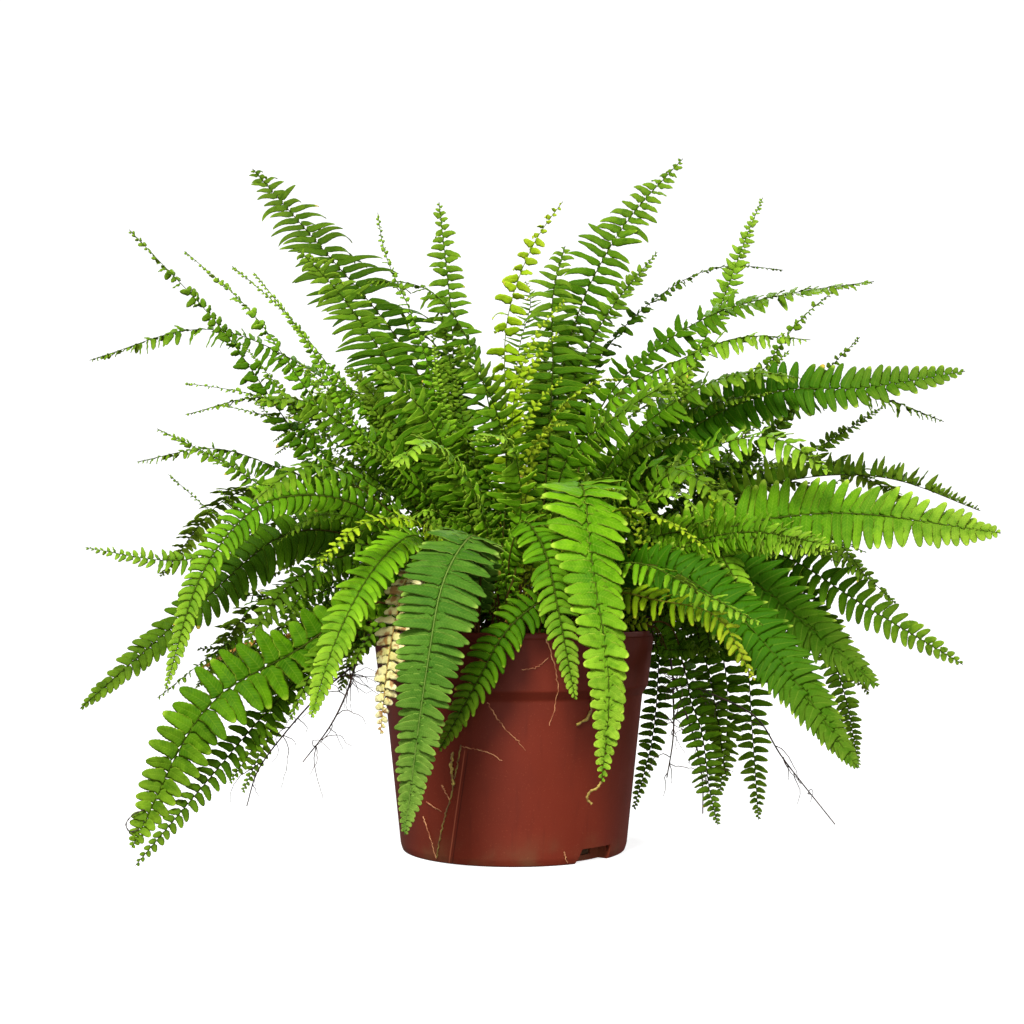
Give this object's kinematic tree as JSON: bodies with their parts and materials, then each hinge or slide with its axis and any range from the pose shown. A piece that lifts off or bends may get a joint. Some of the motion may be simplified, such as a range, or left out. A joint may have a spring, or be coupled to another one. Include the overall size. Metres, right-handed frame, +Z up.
{
  "type": "potted fern",
  "caption": "Arching Boston fern with toothed feather fronds and hanging runners, growing in a tapered plastic nursery pot filled with soil.",
  "frame": {"origin": "middle of the pot's flat base", "axes": "+Z up, front of the plant towards -Y"},
  "size_m": [0.6952, 0.5127, 0.5501],
  "materials": {
    "pot_plastic": "satin",
    "soil": "matte",
    "runner": "matte",
    "frond_light": "satin",
    "frond_mid": "satin",
    "frond_dark": "satin",
    "frond_bluish": "satin",
    "frond_lime": "satin",
    "frond_yellowed": "satin",
    "frond_dry": "matte",
    "frond_cream": "matte"
  },
  "bodies": {
    "root": {"pot": "pot_plastic", "soil": "soil", "runners_right": "runner", "runners_left": "runner", "frond_01": "frond_dark", "frond_02": "frond_mid", "frond_03": "frond_light", "frond_04": "frond_mid", "frond_05": "frond_lime", "frond_06": "frond_dark", "frond_07": "frond_mid", "frond_08": "frond_mid", "frond_09": "frond_dark", "frond_10": "frond_light", "frond_11": "frond_mid", "frond_12": "frond_mid", "frond_13": "frond_light", "frond_14": "frond_dark", "frond_15": "frond_dark", "frond_16": "frond_light", "frond_17": "frond_dark", "frond_18": "frond_mid", "frond_19": "frond_light", "frond_20": "frond_lime", "frond_21": "frond_light", "frond_22": "frond_yellowed", "frond_23": "frond_light", "frond_24": "frond_light", "frond_25": "frond_bluish", "frond_26": "frond_light", "frond_27": "frond_mid", "frond_28": "frond_lime", "frond_29": "frond_mid", "frond_30": "frond_dry", "frond_31": "frond_cream", "frond_32": "frond_dry", "frond_33": "frond_mid", "frond_34": "frond_mid", "frond_35": "frond_dark", "frond_36": "frond_mid", "frond_37": "frond_dark", "frond_38": "frond_light", "frond_39": "frond_light", "frond_40": "frond_mid", "frond_41": "frond_light", "frond_42": "frond_mid", "frond_44": "frond_lime", "frond_45": "frond_dark", "frond_46": "frond_mid", "frond_47": "frond_dark", "frond_48": "frond_mid", "frond_49": "frond_mid", "frond_50": "frond_mid", "frond_51": "frond_mid", "frond_52": "frond_light", "frond_53": "frond_mid", "frond_54": "frond_dark"}
  },
  "joints": []
}
